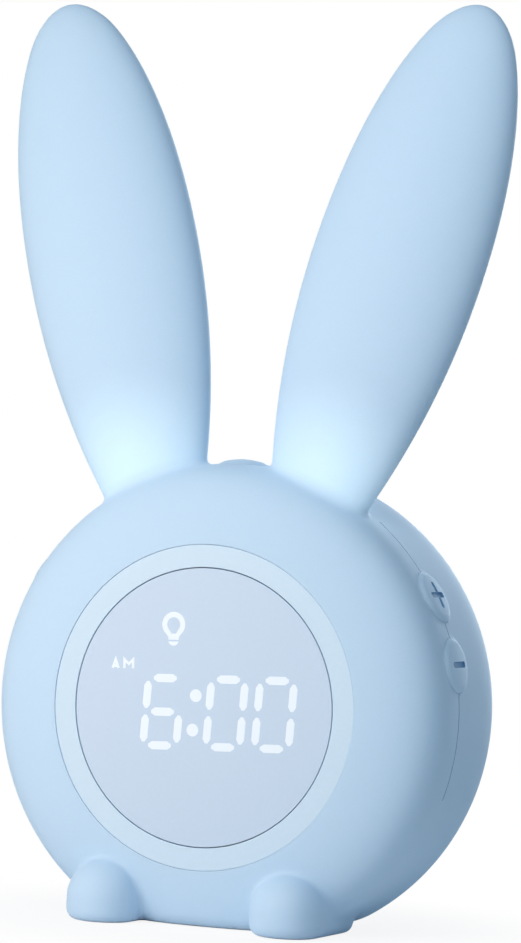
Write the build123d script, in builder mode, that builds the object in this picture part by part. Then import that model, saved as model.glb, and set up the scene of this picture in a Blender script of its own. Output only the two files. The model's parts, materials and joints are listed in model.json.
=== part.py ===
from build123d import *
import os
from math import acos, cos, pi, radians, sin, tan

# Rabbit-shaped bedside alarm clock with glowing ears. Millimetres, Z up, front towards -Y.
# The origin is on the surface that the clock stands on, under the middle of the body.

# ---- driving dimensions --------------------------------------------------------------------
BODY_RADIUS = 51.6  # round body seen from the front
FRONT_DEPTH = 18.3  # seam to the foremost point of the soft front
REAR_DEPTH = 34.0  # seam to the rearmost point of the soft back
FRONT_POWER = 4.2  # superellipse exponents of the two halves
REAR_POWER = 5.0
CENTRE_HEIGHT = 46.5  # body centre above the table
SEAM_Y = -2.7  # widest plane, where the two halves of the housing meet
BUTTON_LINE = 1.5  # buttons and parting line of the silicone, in front of that plane

SKIN = 2.0  # silicone wall
FIT = 0.1  # play between the silicone and the housing
SHELL = 1.8  # housing wall
FRONT_WALL = 3.0  # housing wall behind the display ring

FRONT_OPENING = 34.4  # round opening of the silicone in front
REAR_OPENING = 33.0  # and behind

EAR_LEAN = 15.8  # degrees outwards
EAR_BACK_LEAN = 3.6  # degrees backwards
EAR_TOE = 3.0  # degrees that each ear is turned inwards about its own axis
EAR_ROOT = (20.75, -4.4, 52.0)  # ear axis where it leaves the body, from the body centre
EAR_HALF_WIDTHS = (  # height along the ear and its half width there
    (0, 13.5),
    (16, 17.1),
    (32, 19.1),
    (48, 19.55),
    (64, 18.5),
    (80, 15.5),
    (92, 11.2),
    (98, 7.4),
)
EAR_LENGTH = 102.0
EAR_SUNK = 14.0  # length of the ear inside the body
EAR_NECK = 4.2  # how much narrower the ear is at its sunk end
EAR_FLATNESS = 0.45  # thickness over width
EAR_CREASE = 1.5

FOOT_HALF_WIDTH = 8.0
FOOT_LENGTH = 31.5
FOOT_TOP = 13.0  # above the table
FOOT_SPOT = (21.1, -8.2)  # from the body centre
FOOT_SUNK = 10.0  # length of the foot form below the table, cut away with the body there
FOOT_CREASE = 1.2
SOLE_ROUND = 2.5

BUTTON_PLAY = 0.2
BUTTON_TRAVEL = 0.45
BUTTONS = {  # angle round the body, radius, height of the dome, sign on it
    "plus_button": (30.5, 5.9, 2.0, "plus"),
    "minus_button": (13.5, 5.9, 2.0, "minus"),
    "light_button": (90.0, 5.2, 1.3, None),
    "alarm_button": (149.5, 5.9, 2.0, "ring"),
    "mode_button": (166.5, 5.9, 2.0, "dot"),
}

LENS_RADIUS = 29.3
LENS_THICK = 1.65
WINDOW_GAP = 0.2  # lens to ring
WINDOW_DEEP = 1.0  # lit figures, let into the lens

DISPLAY_TURN = 2.2  # degrees that the figures are turned in the round lens
STROKE = 1.77  # display figures
DIGIT_HALF_WIDTH = 3.85
DIGIT_HALF_HEIGHT = 7.1
DIGIT_BAR = 5.3
DIGIT_POST = 5.75
DIGIT_SLANT = 4.7
DIGIT_MIDDLE = -1.1
DIGIT_PLACES = (-20.3, -9.2, 5.3, 16.4)
BARS = {0: "bc", 1: "abcdefg", 2: "abcdefg", 3: "abcdefg"}  # the first place can only show a one
SHOWN = {1: "acdefg", 2: "abcdef", 3: "abcdef"}  # six, nought, nought

BOARD_THICK = 1.6
BOARD_FRONT = -1.8  # front face of the main board, from the seam
BOARD_RADIUS = 44.0
DISPLAY_BOARD = 50.0
DISPLAY_BOARD_BACK = 7.8

CASE_SCREW_RADIUS = 38.5
CASE_SCREW_ANGLES = (45, 135, 0, 180)
COVER_SCREW_RADIUS = 30.2
COVER_SCREW_ANGLES = (40, 140, 220, 320)
DISPLAY_SCREW_SPOT = 21.0

CELL_RADIUS = 9.2
CELL_LENGTH = 65.0
CELL_HEIGHT = -18.0
CELL_DEPTH = -14.4

SPEAKER_RADIUS = 16.0
SPEAKER_HEIGHT = 10.5
USB_HEIGHT = -20.0

# ---- worked out from them ------------------------------------------------------------------
CENTRE = Vector(0, SEAM_Y, CENTRE_HEIGHT)
BUTTON_CENTRE = CENTRE - Vector(0, BUTTON_LINE, 0)
FACE = Plane(origin=CENTRE, x_dir=(1, 0, 0), z_dir=(0, -1, 0))  # looks to the front
HOUSING = SKIN + FIT
INSIDE = HOUSING + SHELL
BOARD_BACK = BOARD_FRONT - BOARD_THICK


def layer(depth):
    """Plane across the body, its X and Y along the row's X and Z, depth in front of the seam."""
    return FACE.offset(depth)


def figure_layer(depth):
    """The same plane turned as the display figures are."""
    along = (cos(radians(DISPLAY_TURN)), 0, sin(radians(DISPLAY_TURN)))
    return Plane(origin=layer(depth).origin, x_dir=along, z_dir=(0, -1, 0))


def outwards(angle):
    return Vector(cos(radians(angle)), 0, sin(radians(angle)))


def spoke(angle, radius, forward=BUTTON_LINE):
    """Plane facing outwards from the body centre, its X to the back, its Y round the body."""
    start = CENTRE + outwards(angle) * radius - Vector(0, forward, 0)
    return Plane(origin=start, x_dir=(0, 1, 0), z_dir=outwards(angle))


def spoke_axis(angle):
    return Axis(BUTTON_CENTRE, outwards(angle))


def polar_spots(radius, angles):
    return [(radius * cos(radians(a)), radius * sin(radians(a))) for a in angles]


def save(builder, label):
    builder.part.label = label
    export_step(builder.part, "parts/" + label + ".step")


def shoulder(radius, depth, power, opening, count=8):
    """Points of a superellipse from the widest point in to the radius of the opening."""
    last = acos((opening / radius) ** (power / 2))
    turns = [last * i / count for i in range(count + 1)]
    return [(radius * cos(t) ** (2 / power), depth * sin(t) ** (2 / power)) for t in turns]


def edge_depth(inset, depth, power, opening):
    """Depth of the body, drawn in by inset, at the rim of an opening."""
    return shoulder(BODY_RADIUS - inset, depth - inset, power, opening)[-1][1]


def pebble(inset, front_inset=None, flat=True):
    """The round body drawn in by inset, flat at the bottom and level over both openings."""
    radius = BODY_RADIUS - inset
    front_depth = FRONT_DEPTH - (front_inset or inset)
    front = [(x, -y) for x, y in shoulder(radius, front_depth, FRONT_POWER, FRONT_OPENING)]
    rear = shoulder(radius, REAR_DEPTH - inset, REAR_POWER, REAR_OPENING)
    with BuildPart() as blank:
        with BuildSketch(Plane(CENTRE)):
            with BuildLine():
                front_curve = Spline(*front, tangents=((0, -1), (-1, -0.12)))
                rear_curve = Spline(*rear, tangents=((0, 1), (-1, 0.1)))
                Polyline(front_curve @ 1, (0, (front_curve @ 1).Y), (0, (rear_curve @ 1).Y), rear_curve @ 1)
            make_face()
        revolve(axis=Axis(CENTRE, (0, 1, 0)))
        if flat:
            split(bisect_by=Plane.XY.offset(inset), keep=Keep.TOP)
    return blank.part


FRONT_RIM = edge_depth(0, FRONT_DEPTH, FRONT_POWER, FRONT_OPENING)
HOUSING_FRONT = edge_depth(HOUSING, FRONT_DEPTH, FRONT_POWER, FRONT_OPENING)
REAR_RIM = edge_depth(0, REAR_DEPTH, REAR_POWER, REAR_OPENING)
HOUSING_REAR = edge_depth(HOUSING, REAR_DEPTH, REAR_POWER, REAR_OPENING)
RING_FACE = FRONT_RIM - 0.15
LENS_FACE = RING_FACE - 0.05
LENS_BACK = LENS_FACE - LENS_THICK
FILM_THICK = 0.3
FILM_BACK = LENS_BACK - FILM_THICK
COVER_FACE = REAR_RIM - 0.15


def housing_blank():
    """Solid of the rigid housing under the silicone, both halves."""
    return pebble(HOUSING)


def housing_hollow():
    return pebble(INSIDE, HOUSING + FRONT_WALL)


# ---- silicone sleeve -----------------------------------------------------------------------
def ear(wall):
    """An ear about its own axis, Z up it, drawn in by wall; flattened front to back."""
    root_half = EAR_HALF_WIDTHS[0][1]
    widest = max(w for s, w in EAR_HALF_WIDTHS)
    flatness = (EAR_FLATNESS * widest - wall) / (widest - wall)
    points = [(root_half - EAR_NECK - wall, -EAR_SUNK)]
    points += [(w - wall, s) for s, w in EAR_HALF_WIDTHS]
    points += [(0, EAR_LENGTH - wall)]
    with BuildPart() as form:
        with BuildSketch(Plane.XZ):
            with BuildLine():
                side = Spline(*points, tangents=((0.3, 1), (-1, 0)))
                Polyline(side @ 1, (0, -EAR_SUNK), side @ 0)
            make_face()
        revolve(axis=Axis.Z)
        scale(by=(1, flatness, 1))
    return form.part


def ear_places():
    root = Vector(*EAR_ROOT) + CENTRE
    right = Location(tuple(root), (-EAR_BACK_LEAN, EAR_LEAN, -EAR_TOE))
    left = Location((-root.X, root.Y, root.Z), (-EAR_BACK_LEAN, -EAR_LEAN, EAR_TOE))
    return [right, left]


def sleeve_hollow():
    """Space inside the sleeve: the housing and both ears."""
    ear_hollow = ear(SKIN)
    with BuildPart() as hollow:
        add(pebble(SKIN))
        with Locations(*ear_places()):
            add(ear_hollow)
    return hollow.part


def foot(side):
    """Bar with round ends and a domed top, its length front to back, down through the table plane."""
    x, y = FOOT_SPOT
    with BuildPart() as form:
        with BuildSketch(Plane.XY.offset(-FOOT_SUNK)):
            with Locations((side * x, SEAM_Y + y)):
                SlotOverall(FOOT_LENGTH, 2 * FOOT_HALF_WIDTH, rotation=90)
        extrude(amount=FOOT_TOP + FOOT_SUNK)
        fillet(form.edges().group_by(Axis.Z)[-1], FOOT_HALF_WIDTH - 0.1)
    return form.part


def lies_on(edge, form):
    return min(face.distance_to(edge @ 0.5) for face in form.faces()) < 0.01


def silicone_skin():
    body = pebble(0, flat=False)
    ear_form = ear(0)
    with BuildPart() as skin:
        add(body)
        body_edges = skin.edges()
        with Locations(*ear_places()):
            add(ear_form)
        roots = [e for e in skin.edges() if e not in body_edges and e.center().Z > CENTRE_HEIGHT + 30]
        fillet(roots, EAR_CREASE)
        for side in (1, -1):
            foot_form = foot(side)
            add(foot_form)
            fillet([e for e in skin.edges() if lies_on(e, body) and lies_on(e, foot_form)], FOOT_CREASE)
        split(bisect_by=Plane.XY, keep=Keep.TOP)
        sole = skin.edges().filter_by(lambda e: abs(e.bounding_box().max.Z) < 1e-4)
        fillet(sole, SOLE_ROUND)
        add(sleeve_hollow(), mode=Mode.SUBTRACT)
        with BuildSketch(layer(0)):
            Circle(FRONT_OPENING)
        extrude(amount=FRONT_DEPTH + 5, mode=Mode.SUBTRACT)
        with BuildSketch(layer(0)):
            Circle(REAR_OPENING)
        extrude(amount=-REAR_DEPTH - 5, mode=Mode.SUBTRACT)
        for angle, radius, _, _ in BUTTONS.values():
            with BuildSketch(spoke(angle, BODY_RADIUS - 2 * SKIN)):
                Circle(radius + BUTTON_PLAY)
            extrude(amount=4 * SKIN, mode=Mode.SUBTRACT)
    return skin


# ---- rigid housing -------------------------------------------------------------------------
STEM_RADIUS = 1.6
STEM_HOLE = 1.9
CASE_BOSS = 3.3
CASE_PILOT = 1.3
CASE_SCREW_SHAFT = 1.25
CASE_SCREW_HEAD = 2.2
CASE_SCREW_HEAD_DEPTH = -8.0
CASE_SCREW_TIP = 8.0
COVER_BOSS = 2.3
COVER_PILOT = 0.95
COVER_SCREW_SHAFT = 0.9
COVER_SCREW_HEAD = 1.7
DISPLAY_BOSS = 2.6
DISPLAY_PILOT = 1.0
DISPLAY_SCREW_SHAFT = 0.95
DISPLAY_SCREW_HEAD = 1.9
FLANGE_THICK = 2.0
FLANGE_FRONT = DISPLAY_BOARD_BACK + BOARD_THICK + FLANGE_THICK
BLOCK_RADIUS = 26.0
GASKET_SEAT = 0.8

EAR_WINDOW_ANGLES = (67.5, 112.5)
EAR_WINDOW_FORWARD = 4.2
EAR_LIGHT_HALF = (3.0, 6.5)  # section of the light guide, front to back and round the body

case_spots = polar_spots(CASE_SCREW_RADIUS, CASE_SCREW_ANGLES)
cover_spots = polar_spots(COVER_SCREW_RADIUS, COVER_SCREW_ANGLES)
display_spots = [(x * DISPLAY_SCREW_SPOT, y * DISPLAY_SCREW_SPOT) for x in (-1, 1) for y in (-1, 1)]


def columns(spots, radius, start, stop):
    """Round columns between two depths, kept inside the housing."""
    with BuildPart() as posts:
        with BuildSketch(layer(start)):
            with Locations(*spots):
                Circle(radius)
        extrude(amount=stop - start)
        add(housing_blank(), mode=Mode.INTERSECT)
    return posts.part


def stem_bores():
    """Rods that cut the holes of the button stems into the housing."""
    with BuildPart() as rods:
        for angle, _, _, _ in BUTTONS.values():
            with BuildSketch(spoke(angle, BODY_RADIUS - INSIDE - SHELL)):
                Circle(STEM_HOLE)
            extrude(amount=3 * SHELL)
    return rods.part


def front_housing():
    with BuildPart() as front:
        add(housing_blank())
        add(housing_hollow(), mode=Mode.SUBTRACT)
        split(bisect_by=layer(0), keep=Keep.TOP)
        add(columns(case_spots, CASE_BOSS, BOARD_FRONT, FRONT_DEPTH))
        add(columns(display_spots, DISPLAY_BOSS, FLANGE_FRONT, FRONT_DEPTH))
        with BuildSketch(layer(HOUSING_FRONT)):
            Circle(LENS_RADIUS + 0.1)
        extrude(amount=-GASKET_SEAT, mode=Mode.SUBTRACT)
        with BuildSketch(layer(0)):
            Circle(BLOCK_RADIUS + 0.2)
        extrude(amount=FRONT_DEPTH, mode=Mode.SUBTRACT)
        with BuildSketch(layer(BOARD_FRONT)):
            with Locations(*case_spots):
                Circle(CASE_PILOT)
        extrude(amount=CASE_SCREW_TIP - BOARD_FRONT + 0.5, mode=Mode.SUBTRACT)
        with BuildSketch(layer(FLANGE_FRONT)):
            with Locations(*display_spots):
                Circle(DISPLAY_PILOT)
        extrude(amount=HOUSING_FRONT - GASKET_SEAT - 0.6 - FLANGE_FRONT, mode=Mode.SUBTRACT)
        add(stem_bores(), mode=Mode.SUBTRACT)
        for angle in EAR_WINDOW_ANGLES:
            with BuildSketch(spoke(angle, BODY_RADIUS - INSIDE - SHELL, EAR_WINDOW_FORWARD)):
                Ellipse(EAR_LIGHT_HALF[0] + 0.15, EAR_LIGHT_HALF[1] + 0.15)
            extrude(amount=3 * SHELL, mode=Mode.SUBTRACT)
    return front


def rear_housing():
    with BuildPart() as rear:
        add(housing_blank())
        add(housing_hollow(), mode=Mode.SUBTRACT)
        split(bisect_by=layer(0), keep=Keep.BOTTOM)
        add(columns(case_spots, CASE_BOSS, -REAR_DEPTH, BOARD_BACK))
        add(columns(cover_spots, COVER_BOSS, -REAR_DEPTH, -HOUSING_REAR + 7))
        with BuildSketch(layer(-REAR_DEPTH)):
            Circle(COVER_SCREW_RADIUS - COVER_BOSS - 0.4)
        extrude(amount=6, mode=Mode.SUBTRACT)
        with BuildSketch(layer(-REAR_DEPTH)):
            with Locations(*case_spots):
                Circle(CASE_SCREW_HEAD + 0.2)
        extrude(amount=CASE_SCREW_HEAD_DEPTH + REAR_DEPTH, mode=Mode.SUBTRACT)
        with BuildSketch(layer(-REAR_DEPTH)):
            with Locations(*case_spots):
                Circle(CASE_PILOT + 0.1)
        extrude(amount=REAR_DEPTH, mode=Mode.SUBTRACT)
        with BuildSketch(layer(-HOUSING_REAR)):
            with Locations(*cover_spots):
                Circle(COVER_PILOT)
        extrude(amount=6, mode=Mode.SUBTRACT)
        add(stem_bores(), mode=Mode.SUBTRACT)
    return rear


# ---- display -------------------------------------------------------------------------------
RING_RADIUS = FRONT_OPENING - 0.12
FRAME_RADIUS = LENS_RADIUS + WINDOW_GAP
FILM_RADIUS = LENS_RADIUS - 0.4
BAR_TIP = 0.3  # half width of the end of a bar
BAR_TAPER = 0.9  # length over which a bar narrows to it
ICON_PLACE = (-6.85, 17.35)
GLOBE_RADIUS = 2.65
GLOBE_HOLE = 1.5
GLOBE_OPEN = 50.0  # degrees below the middle where the globe runs into its neck
HOLE_OPEN = 35.0
HOLE_FOOT = (0.5, -1.95)
NECK_HALF = 1.2
NECK_TOP = -2.7
NECK_END = -3.25
CAP_TOP = -3.6
CAP_END = -4.5
LETTERS_PLACE = (-18.7, 8.8)
LETTER_HEIGHT = 2.4
LETTER_STROKE = 0.55
COLON_SPOTS = ((-1.56, 2.47), (-2.24, -4.78))
COLON_RADIUS = 1.35


def bar_places(digit):
    """Name, place and turn of the seven bars of one figure, slanted to the right."""
    middle = DIGIT_PLACES[digit]
    lean = sin(radians(DIGIT_SLANT))
    half = DIGIT_HALF_HEIGHT
    flat_bars = {"a": half, "g": 0, "d": -half}
    posts = {"f": (-1, half / 2), "b": (1, half / 2), "e": (-1, -half / 2), "c": (1, -half / 2)}
    places = {name: (middle + lean * up, DIGIT_MIDDLE + up, 0) for name, up in flat_bars.items()}
    for name, (side, up) in posts.items():
        places[name] = (middle + side * DIGIT_HALF_WIDTH + lean * up, DIGIT_MIDDLE + up, 90 - DIGIT_SLANT)
    return places


def bars(digits, grow=0):
    """Sketch the bars of the given figures: {digit: names of its bars}."""
    for digit, names in digits.items():
        for name, (x, y, turn) in bar_places(digit).items():
            if name in names:
                half = (DIGIT_BAR if turn == 0 else DIGIT_POST) / 2 + grow / 2
                flank = half - BAR_TAPER
                wide = STROKE / 2 + grow / 2
                tip = BAR_TIP + grow / 2
                corner = [(half, tip), (flank, wide), (-flank, wide), (-half, tip)]
                outline = corner + [(-x, -y) for x, y in corner]
                with Locations(Location((x, y, 0), (0, 0, turn))):
                    Polygon(*outline)


def colon(grow=0):
    with Locations(*COLON_SPOTS):
        Circle(COLON_RADIUS + grow / 2)


def bulb_icon():
    """Outline of a light bulb over the end of its screw cap."""
    x, y = ICON_PLACE
    with BuildSketch() as icon:
        with BuildLine():
            globe = CenterArc((x, y), GLOBE_RADIUS, -GLOBE_OPEN, 180 + 2 * GLOBE_OPEN)
            Polyline(
                globe @ 0,
                (x + NECK_HALF, y + NECK_TOP),
                (x + NECK_HALF, y + NECK_END),
                (x - NECK_HALF, y + NECK_END),
                (x - NECK_HALF, y + NECK_TOP),
                globe @ 1,
            )
        make_face()
        with BuildLine():
            hole = CenterArc((x, y), GLOBE_HOLE, -HOLE_OPEN, 180 + 2 * HOLE_OPEN)
            foot_x, foot_y = HOLE_FOOT
            Polyline(hole @ 0, (x + foot_x, y + foot_y), (x - foot_x, y + foot_y), hole @ 1)
        make_face(mode=Mode.SUBTRACT)
        with BuildLine():
            top = Line((x - NECK_HALF, y + CAP_TOP), (x + NECK_HALF, y + CAP_TOP))
            ThreePointArc(top @ 1, (x, y + CAP_END), top @ 0)
        make_face()
    return icon.sketch


def morning_letters():
    """The letters A and M, built of strokes."""
    x, y = LETTERS_PLACE
    low = y - (LETTER_HEIGHT - LETTER_STROKE) / 2
    high = y + (LETTER_HEIGHT - LETTER_STROKE) / 2
    a, m = x - 1.5, x + 1.55
    with BuildSketch() as letters:
        with BuildLine():
            Polyline((a - 0.7, low), (a, high), (a + 0.7, low))
            Line((a - 0.45, y - 0.45), (a + 0.45, y - 0.45))
            Polyline((m - 1, low), (m - 1, high), (m, y), (m + 1, high), (m + 1, low))
        trace(line_width=LETTER_STROKE)
    return letters.sketch


def window_shapes():
    """Everything that is lit on the display, as one sketch in the plane of the lens."""
    with BuildSketch() as shapes:
        bars(SHOWN)
        colon()
        add(bulb_icon())
        add(morning_letters())
    return shapes.sketch


def display_ring():
    with BuildPart() as ring:
        with BuildSketch(layer(HOUSING_FRONT)):
            Circle(RING_RADIUS)
            Circle(FRAME_RADIUS, mode=Mode.SUBTRACT)
        extrude(amount=RING_FACE - HOUSING_FRONT)
        fillet(ring.edges().filter_by(GeomType.CIRCLE).group_by(Axis.Y)[0], 0.15)
    return ring


def display_lens(shapes):
    with BuildPart() as lens:
        with BuildSketch(layer(LENS_BACK)):
            Circle(LENS_RADIUS)
        extrude(amount=LENS_THICK)
        with BuildSketch(figure_layer(LENS_FACE)):
            add(shapes)
        extrude(amount=-WINDOW_DEEP, mode=Mode.SUBTRACT)
        rim = lens.edges().filter_by(GeomType.CIRCLE).filter_by(lambda e: e.radius > LENS_RADIUS - 1)
        fillet(rim.group_by(Axis.Y)[0], 0.12)
    return lens


def lit_windows(shapes):
    with BuildPart() as windows:
        with BuildSketch(figure_layer(LENS_FACE)):
            add(shapes)
        extrude(amount=-WINDOW_DEEP)
    return windows


def diffuser_film():
    with BuildPart() as film:
        with BuildSketch(layer(FILM_BACK)):
            Circle(FILM_RADIUS)
        extrude(amount=FILM_THICK)
    return film


def display_gasket():
    """Foam ring between the film and the seat in the housing."""
    with BuildPart() as gasket:
        with BuildSketch(layer(HOUSING_FRONT - GASKET_SEAT)):
            Circle(LENS_RADIUS - 0.2)
            Circle(BLOCK_RADIUS + 0.4, mode=Mode.SUBTRACT)
        extrude(amount=FILM_BACK - HOUSING_FRONT + GASKET_SEAT)
    return gasket


def display_reflector():
    """Block with a shaft for each bar, and a square flange that the display screws hold."""
    back = DISPLAY_BOARD_BACK + BOARD_THICK
    with BuildPart() as block:
        with BuildSketch(layer(back)):
            RectangleRounded(DISPLAY_BOARD, DISPLAY_BOARD, 4)
            with Locations(*display_spots):
                Circle(DISPLAY_SCREW_SHAFT + 0.25, mode=Mode.SUBTRACT)
        extrude(amount=FLANGE_THICK)
        with BuildSketch(layer(back)):
            Circle(BLOCK_RADIUS)
        extrude(amount=FILM_BACK - back)
        with BuildSketch(figure_layer(back)):
            bars(BARS, grow=0.5)
            colon(grow=0.5)
            with Locations(ICON_PLACE):
                Circle(3.2)
        extrude(amount=FILM_BACK - back, mode=Mode.SUBTRACT)
    return block


def display_board():
    with BuildPart() as board:
        with BuildSketch(layer(DISPLAY_BOARD_BACK)):
            RectangleRounded(DISPLAY_BOARD, DISPLAY_BOARD, 4)
            with Locations(*display_spots):
                Circle(DISPLAY_SCREW_SHAFT + 0.25, mode=Mode.SUBTRACT)
        extrude(amount=BOARD_THICK)
    return board


def display_leds():
    """One chip under each bar, dot and sign."""
    spots = [(x, y, 0) for x, y in COLON_SPOTS + (ICON_PLACE,)]
    for digit, names in BARS.items():
        spots += [place for name, place in bar_places(digit).items() if name in names]
    with BuildPart() as chips:
        with BuildSketch(figure_layer(DISPLAY_BOARD_BACK + BOARD_THICK)):
            for x, y, turn in spots:
                with Locations(Location((x, y, 0), (0, 0, turn))):
                    Rectangle(1.6, 0.8)
        extrude(amount=0.6)
    return chips


# ---- main board ----------------------------------------------------------------------------
HEADER_PLACE = (0, -18.0)
HEADER_SIZE = (20.3, 5.0)
CHIP_PLACES = {  # middle, width and height, thickness
    "clock_chip": ((0, 20), (9, 9), 1.5),
    "amplifier_chip": ((-19, 9), (5, 6), 1.6),
    "charger_chip": ((17, -34), (5, 4), 1.2),
}
SOCKET_PLACES = {"speaker_socket": (-24, 3), "battery_socket": (26, 4), "usb_socket": (4, -35)}
SOCKET_SIZE = (7.5, 4.5)
SOCKET_DEEP = 5.0
CAPACITOR_PLACES = ((14, 18), (20, 25), (-13, 27))


def main_board():
    with BuildPart() as board:
        with BuildSketch(layer(BOARD_BACK)):
            Circle(BOARD_RADIUS)
            with Locations(*case_spots):
                Circle(CASE_PILOT + 0.2, mode=Mode.SUBTRACT)
        extrude(amount=BOARD_THICK)
        split(bisect_by=Plane.XY.offset(INSIDE + 1), keep=Keep.TOP)
    return board


def block_on_board(place, size, height):
    """A box standing on the back of the main board."""
    with BuildPart() as box:
        with BuildSketch(layer(BOARD_BACK)):
            with Locations(place):
                Rectangle(*size)
        extrude(amount=-height)
    return box


def quad_chip(place, size, height):
    """A chip with a row of legs down two sides."""
    x, y = place
    wide, tall = size
    pitch = 1.27
    count = int(tall / pitch)
    with BuildPart() as chip:
        with BuildSketch(layer(BOARD_BACK - 0.15)):
            with Locations(place):
                Rectangle(wide, tall)
        extrude(amount=0.15 - height)
        with BuildSketch(layer(BOARD_BACK)):
            with Locations(place):
                with GridLocations(wide + 1.2, pitch, 2, count):
                    Rectangle(1.4, 0.45)
        extrude(amount=-0.4)
    return chip


def capacitors():
    with BuildPart() as cans:
        with BuildSketch(layer(BOARD_BACK)):
            with Locations(*CAPACITOR_PLACES):
                Circle(2.5)
        extrude(amount=-6.5)
        fillet(cans.edges().filter_by(GeomType.CIRCLE), 0.4)
    return cans


def board_header():
    """Pin header that joins the display board to the main board."""
    with BuildPart() as header:
        with BuildSketch(layer(BOARD_FRONT)):
            with Locations(HEADER_PLACE):
                Rectangle(*HEADER_SIZE)
        extrude(amount=DISPLAY_BOARD_BACK - BOARD_FRONT)
    return header


def wire_socket(place):
    """Shrouded socket for a two-wire plug, open to the back."""
    with BuildPart() as socket:
        with BuildSketch(layer(BOARD_BACK)):
            with Locations(place):
                Rectangle(*SOCKET_SIZE)
        extrude(amount=-SOCKET_DEEP)
    return socket


# ---- ear lights ----------------------------------------------------------------------------
LIGHT_FLANGE_TOP = BODY_RADIUS - INSIDE - 1.4
LIGHT_FLANGE_THICK = 1.0
LIGHT_TIP = BODY_RADIUS + 7.5
LIGHT_TIP_ROUND = 1.1
LED_BOARD_THICK = 1.0
LED_BOARD_UNDER = LIGHT_FLANGE_TOP - LIGHT_FLANGE_THICK - LED_BOARD_THICK


def ear_light_guide(angle):
    """Milky dome that stands through the housing into the foot of an ear."""
    under = LIGHT_FLANGE_TOP - LIGHT_FLANGE_THICK
    half_deep, half_round = EAR_LIGHT_HALF
    with BuildPart() as guide:
        with BuildSketch(spoke(angle, under, EAR_WINDOW_FORWARD)):
            Ellipse(half_deep + 1.0, half_round + 1.5)
        extrude(amount=LIGHT_FLANGE_THICK)
        with BuildSketch(spoke(angle, under, EAR_WINDOW_FORWARD)):
            Ellipse(half_deep, half_round)
        extrude(amount=LIGHT_TIP - under)
        fillet(guide.edges().group_by(spoke_axis(angle))[-1], LIGHT_TIP_ROUND)
        with BuildSketch(spoke(angle, under, EAR_WINDOW_FORWARD)):
            Ellipse(half_deep - 0.6, half_round - 0.7)
        extrude(amount=4.0, mode=Mode.SUBTRACT)
    return guide


def ear_led_board(angle):
    with BuildPart() as board:
        with BuildSketch(spoke(angle, LED_BOARD_UNDER, EAR_WINDOW_FORWARD)):
            RectangleRounded(7.5, 15, 1)
        extrude(amount=LED_BOARD_THICK)
    return board


def ear_leds(angle):
    with BuildPart() as chips:
        with BuildSketch(spoke(angle, LIGHT_FLANGE_TOP - LIGHT_FLANGE_THICK, EAR_WINDOW_FORWARD)):
            with Locations((0, -2.6), (0, 2.6)):
                Rectangle(2.0, 2.4)
        extrude(amount=0.9)
    return chips


# ---- buttons and switches ------------------------------------------------------------------
FLANGE_RADIUS = 2.6
STEM_FLANGE_TOP = BODY_RADIUS - INSIDE - 0.25
STEM_END = STEM_FLANGE_TOP - 0.8
HEAD_BASE = BODY_RADIUS - HOUSING + BUTTON_TRAVEL + 0.15
CAP_RISE = 1.2  # middle of the dome above its rim
CAP_ROUND = 1.2
GLYPH_DEEP = 0.7
GLYPH_LENGTH = 6.2
GLYPH_STROKE = 1.3
PLUNGER_RADIUS = 1.0
PLUNGER_LONG = 2.4
PLUNGER_OUT = 1.2  # length that stands out of the switch
SWITCH_TOP = STEM_END - PLUNGER_OUT
SWITCH_DEEP = 4.0
SWITCH_WIDE = 6.0


def button_cap(angle, radius, dome, glyph):
    """Domed key with a stem through the housing and a flange that keeps it in."""
    top = BODY_RADIUS + dome
    across = outwards(angle - 90)
    with BuildPart() as cap:
        with BuildSketch(Plane(origin=BUTTON_CENTRE, x_dir=(0, 1, 0), z_dir=across)):
            with BuildLine():
                side = Polyline(
                    (0, STEM_END),
                    (FLANGE_RADIUS, STEM_END),
                    (FLANGE_RADIUS, STEM_FLANGE_TOP),
                    (STEM_RADIUS, STEM_FLANGE_TOP),
                    (STEM_RADIUS, HEAD_BASE),
                    (radius, HEAD_BASE),
                    (radius, top - CAP_RISE),
                )
                RadiusArc((0, top), side @ 1, (radius**2 + CAP_RISE**2) / (2 * CAP_RISE))
                Line((0, top), side @ 0)
            make_face()
        revolve(axis=spoke_axis(angle))
        rims = cap.edges().filter_by(GeomType.CIRCLE)
        rims = rims.filter_by(lambda e: abs(e.radius - radius) < 0.01)
        fillet(rims.sort_by(spoke_axis(angle))[-1], CAP_ROUND)
        if glyph:
            with BuildSketch(spoke(angle, top)):
                if glyph in ("plus", "minus"):
                    Rectangle(GLYPH_LENGTH, GLYPH_STROKE)
                if glyph == "plus":
                    Rectangle(GLYPH_STROKE, GLYPH_LENGTH)
                if glyph in ("ring", "dot"):
                    Circle(GLYPH_LENGTH / 2 if glyph == "ring" else GLYPH_STROKE)
                if glyph == "ring":
                    Circle(GLYPH_LENGTH / 2 - GLYPH_STROKE, mode=Mode.SUBTRACT)
            extrude(amount=-GLYPH_DEEP, mode=Mode.SUBTRACT)
    return cap


def switch_plunger(angle):
    with BuildPart() as plunger:
        with BuildSketch(spoke(angle, STEM_END)):
            Circle(PLUNGER_RADIUS)
        extrude(amount=-PLUNGER_LONG)
    return plunger


def switch_body(angle):
    """Side-acting switch at the edge of the main board, bored for its plunger."""
    with BuildPart() as switch:
        with BuildSketch(spoke(angle, SWITCH_TOP)):
            Rectangle(2 * (BUTTON_LINE - BOARD_FRONT), SWITCH_WIDE)
        extrude(amount=-SWITCH_DEEP)
        with BuildSketch(spoke(angle, SWITCH_TOP)):
            Circle(PLUNGER_RADIUS + 0.08)
        extrude(amount=-(PLUNGER_LONG - PLUNGER_OUT + BUTTON_TRAVEL + 0.2), mode=Mode.SUBTRACT)
    return switch


# ---- battery -------------------------------------------------------------------------------
HOLDER_WALL = 1.5
CONTACT_THICK = 0.5
CELL_PIP = 1.0  # raised end of the cell


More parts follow.
